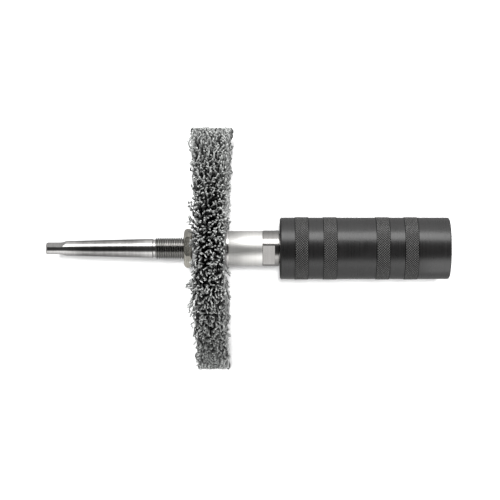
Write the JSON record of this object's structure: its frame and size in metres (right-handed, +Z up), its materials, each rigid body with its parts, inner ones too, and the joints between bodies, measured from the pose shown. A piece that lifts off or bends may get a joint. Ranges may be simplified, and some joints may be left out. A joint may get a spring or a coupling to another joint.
{
  "type": "two-handed rotary wheel brush with taper shank",
  "caption": "Crimped abrasive nylon wheel brush on a taper shank spindle, clamped by a thin nut and steadied by a free-spinning black knurled guide handle.",
  "frame": {"origin": "on the tool axis at the gauge plane of the taper shank", "axes": "+X along the tool axis from the taper towards the handle, +Z up with the brush standing on its rim"},
  "size_m": [0.2617, 0.157, 0.157],
  "materials": {
    "turned_steel": "fine ground and turned steel, satin",
    "nut_steel": "satin plated steel, slightly warm",
    "pressed_steel": "pressed sheet and wire, satin",
    "bright_sleeve": "bright turned steel, fine rings",
    "bearing_steel": "ground bearing steel",
    "cage_brass": "turned brass",
    "abrasive_nylon": "crimped grey abrasive nylon filaments",
    "black_handle": "black anodised, turned, diamond knurled bands",
    "black_plastic": "moulded black, satin",
    "black_screw": "black oxide"
  },
  "bodies": {
    "spindle": {"spindle": "turned_steel", "hub_bush": "turned_steel", "front_side_plate": "pressed_steel", "rear_side_plate": "pressed_steel", "core_channel": "pressed_steel", "retaining_wire": "pressed_steel", "bristle_ring": "abrasive_nylon", "backing_washer": "turned_steel", "spacer_sleeve": "bright_sleeve", "front_inner_ring": "bearing_steel", "rear_inner_ring": "bearing_steel", "inner_spacer": "turned_steel", "end_washer": "turned_steel", "end_screw": "black_screw"},
    "flange": {"pressure_flange": "turned_steel"},
    "nut": {"clamp_nut": "nut_steel"},
    "handle": {"handle_body": "black_handle", "dust_cap": "black_plastic", "bearing_circlip": "pressed_steel", "front_outer_ring": "bearing_steel", "front_outer_shield": "bearing_steel", "front_inner_shield": "bearing_steel", "wave_washer": "pressed_steel", "rear_outer_ring": "bearing_steel", "rear_outer_shield": "bearing_steel", "rear_inner_shield": "bearing_steel", "end_cap": "black_plastic"},
    "front_ball_set": {"front_balls": "bearing_steel", "front_cage": "cage_brass"},
    "rear_ball_set": {"rear_balls": "bearing_steel", "rear_cage": "cage_brass"}
  },
  "joints": [
    {"name": "handle_spin", "type": "hinge", "parent": "spindle", "child": "handle", "pos_m": [0.1447, 0, 0], "axis": [1, 0, 0], "continuous": true},
    {"name": "front_cage_spin", "type": "hinge", "parent": "spindle", "child": "front_ball_set", "pos_m": [0.099, 0, 0], "axis": [1, 0, 0], "continuous": true},
    {"name": "rear_cage_spin", "type": "hinge", "parent": "spindle", "child": "rear_ball_set", "pos_m": [0.1858, 0, 0], "axis": [1, 0, 0], "continuous": true},
    {"name": "nut_travel", "type": "slide", "parent": "spindle", "child": "flange", "axis": [-1, 0, 0], "range_m": [0, 0.0186]},
    {"name": "nut_turn", "type": "hinge", "parent": "flange", "child": "nut", "pos_m": [0.0303, 0, 0], "axis": [-1, 0, 0], "range_deg": [0, 4470]}
  ],
  "couplings": [
    {"joint": "front_cage_spin", "follows": "handle_spin", "ratio": 0.60132},
    {"joint": "rear_cage_spin", "follows": "handle_spin", "ratio": 0.60132},
    {"joint": "nut_turn", "follows": "nut_travel", "rad_per_m": 4188.8}
  ]
}
